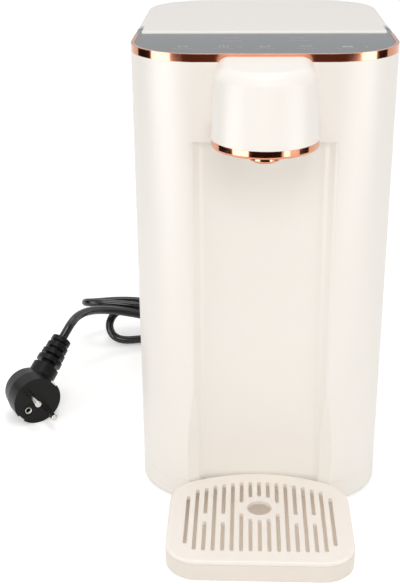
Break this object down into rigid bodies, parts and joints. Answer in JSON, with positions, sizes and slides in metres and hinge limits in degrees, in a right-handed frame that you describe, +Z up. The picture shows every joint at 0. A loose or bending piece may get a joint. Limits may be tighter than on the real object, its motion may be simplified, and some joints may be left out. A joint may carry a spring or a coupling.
{
  "type": "hot water dispenser",
  "caption": "Countertop hot water dispenser with a lift-off rear tank, a touch panel on top, a cantilevered spout over a slotted drip tray, and a tied mains cord with a round plug.",
  "frame": {"origin": "middle of the footprint of body and drip tray, on the table", "axes": "+Z up, the front with spout and drip tray faces -Y, +X to the right of someone who looks at the front"},
  "size_m": [0.2741, 0.3668, 0.2995],
  "materials": {
    "cream_shell": "gloss moulded",
    "white_lid": "satin moulded",
    "copper_plate": "copper plated",
    "panel_glass": "polished",
    "smoke_tank": "clear tinted",
    "silicone": "matt",
    "foot_rubber": "matt",
    "steel": "bright",
    "plug_metal": "nickel plated",
    "circuit_board": "solder mask",
    "inner_plastic": "plain moulded",
    "motor_case": "zinc plated",
    "cord_black": "satin sheath",
    "plug_black": "moulded"
  },
  "bodies": {
    "housing": {"main_housing": "cream_shell", "base_pan": "cream_shell", "rubber_feet": "foot_rubber", "base_screws": "steel", "trim_band": "copper_plate", "glass_panel": "panel_glass", "touch_board": "circuit_board", "touch_springs": "steel", "spout_housing": "cream_shell", "spout_screws": "steel", "spout_ring": "copper_plate", "spout_floor": "cream_shell", "nozzle_collar": "copper_plate", "nozzle": "silicone", "dock_cup": "inner_plastic", "dock_seal": "silicone", "pump_cover": "inner_plastic", "pump_head": "inner_plastic", "pump_motor": "motor_case", "pump_cradle": "foot_rubber", "heater_tube": "steel", "heater_caps": "inner_plastic", "heater_bracket": "steel", "thermal_cutout": "inner_plastic", "control_board": "circuit_board", "board_screws": "steel", "level_sensor": "inner_plastic", "outlet_hose": "silicone", "feed_hose": "silicone", "inlet_hose": "silicone", "panel_cable": "cord_black", "mains_leads": "cord_black", "cord_gland": "cord_black", "mains_cord": "cord_black", "cord_tie": "cord_black", "plug_body": "plug_black", "plug_pins": "plug_metal", "plug_contacts": "plug_metal"},
    "impeller": {"pump_impeller": "inner_plastic"},
    "tray": {"tray_basin": "cream_shell"},
    "grille": {"tray_grille": "cream_shell"},
    "tank": {"water_tank": "smoke_tank", "valve_cage": "inner_plastic", "float_cap": "inner_plastic", "valve_spring": "steel"},
    "lid": {"tank_lid": "white_lid"},
    "plunger": {"valve_plunger": "inner_plastic", "valve_seal": "silicone"},
    "float": {"tank_float": "inner_plastic"}
  },
  "joints": [
    {"name": "tray_slide", "type": "slide", "parent": "housing", "child": "tray", "axis": [0, -1, 0], "range_m": [0, 0.11]},
    {"name": "grille_lift", "type": "slide", "parent": "tray", "child": "grille", "axis": [0, 0, 1], "range_m": [0, 0.028]},
    {"name": "tank_lift", "type": "slide", "parent": "housing", "child": "tank", "axis": [0, 0, 1], "range_m": [0, 0.21]},
    {"name": "lid_lift", "type": "slide", "parent": "tank", "child": "lid", "axis": [0, 0, 1], "range_m": [0, 0.06]},
    {"name": "valve_close", "type": "slide", "parent": "tank", "child": "plunger", "axis": [0, 0, 1], "range_m": [-0.003, 0], "deforming": ["valve_spring"]},
    {"name": "float_rise", "type": "slide", "parent": "tank", "child": "float", "axis": [0, 0, 1], "range_m": [0, 0.03]},
    {"name": "pump_spin", "type": "hinge", "parent": "housing", "child": "impeller", "pos_m": [0.0105, 0.0826, 0.045], "axis": [1, 0, 0], "continuous": true}
  ],
  "couplings": [
    {"joint": "valve_close", "follows": "tank_lift", "ratio": -0.014286}
  ]
}
